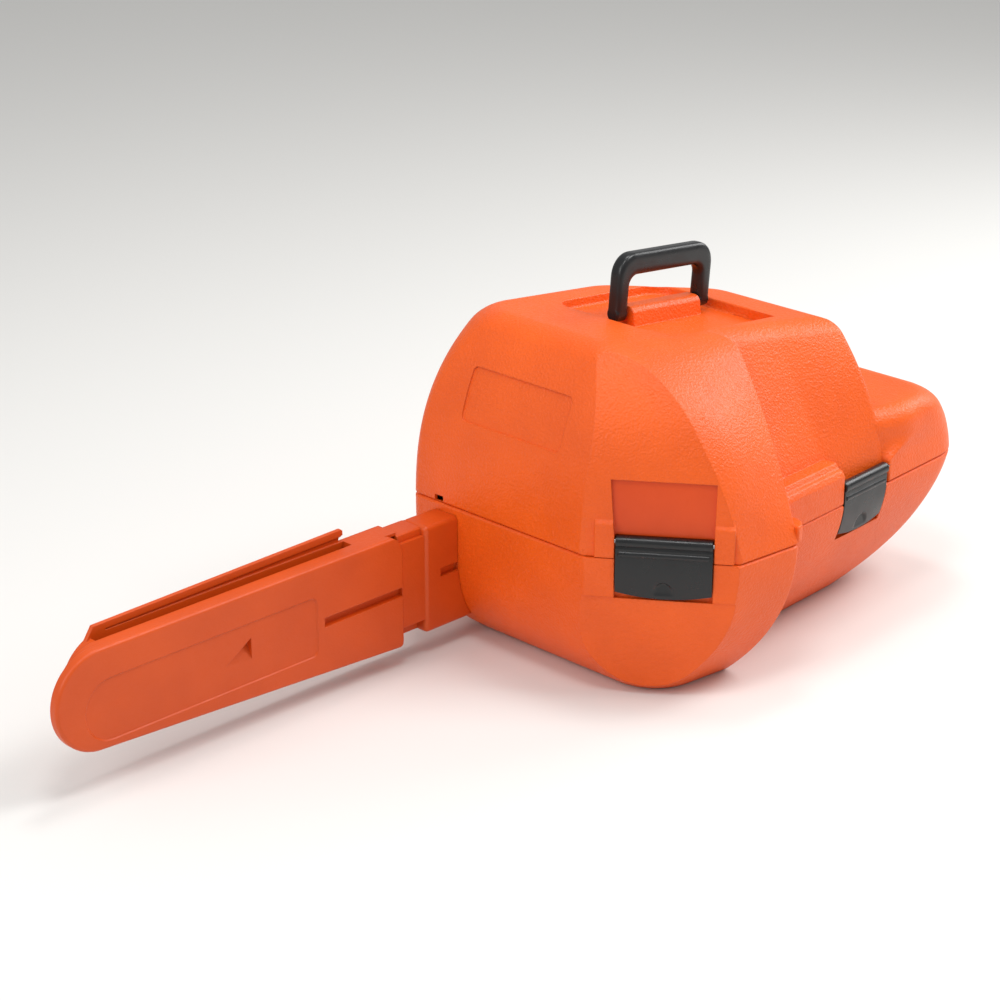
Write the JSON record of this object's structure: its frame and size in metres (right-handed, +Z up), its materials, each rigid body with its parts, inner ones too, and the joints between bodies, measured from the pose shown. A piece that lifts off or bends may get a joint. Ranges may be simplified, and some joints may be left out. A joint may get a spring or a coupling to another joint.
{
  "type": "chainsaw carrying case",
  "caption": "Moulded carrying case for a chainsaw: deep base, domed hinged lid, folding top handle, two snap latches and a plug-in bar sheath.",
  "frame": {"origin": "middle of the flat underside, on the surface it stands on", "axes": "+X along the length from the sheath to the tail, +Y from the latch side to the hinge side, +Z up"},
  "size_m": [0.926, 0.3521, 0.3597],
  "materials": {
    "orange_shell": "fine grained moulded surface, satin",
    "black_plastic": "moulded, satin",
    "steel": "plain zinc plated"
  },
  "bodies": {
    "base": {"base_shell": "orange_shell", "hinge_pins": "steel"},
    "lid": {"lid_shell": "orange_shell", "handle_pins": "steel", "front_latch_pin": "steel", "side_latch_pin": "steel"},
    "handle": {"handle": "black_plastic"},
    "front_latch": {"front_latch": "black_plastic"},
    "side_latch": {"side_latch": "black_plastic"},
    "sheath": {"sheath": "orange_shell"}
  },
  "joints": [
    {"name": "lid_hinge", "type": "hinge", "parent": "base", "child": "lid", "pos_m": [0, 0.151, 0.137], "axis": [-1, 0, 0], "range_deg": [0, 105]},
    {"name": "handle_fold", "type": "hinge", "parent": "lid", "child": "handle", "pos_m": [-0.01936, 0.023, 0.2989], "axis": [0.9954, 0, -0.0958], "range_deg": [-90, 90]},
    {"name": "front_latch_swing", "type": "hinge", "parent": "lid", "child": "front_latch", "pos_m": [-0.18313, -0.13328, 0.153], "axis": [0.5878, -0.809, 0], "range_deg": [-120, 0]},
    {"name": "side_latch_swing", "type": "hinge", "parent": "lid", "child": "side_latch", "pos_m": [0.06681, -0.16022, 0.153], "axis": [0.998, 0.0636, 0], "range_deg": [-120, 0]},
    {"name": "sheath_pull", "type": "slide", "parent": "base", "child": "sheath", "axis": [-1, 0, 0], "range_m": [0, 0.06]}
  ]
}
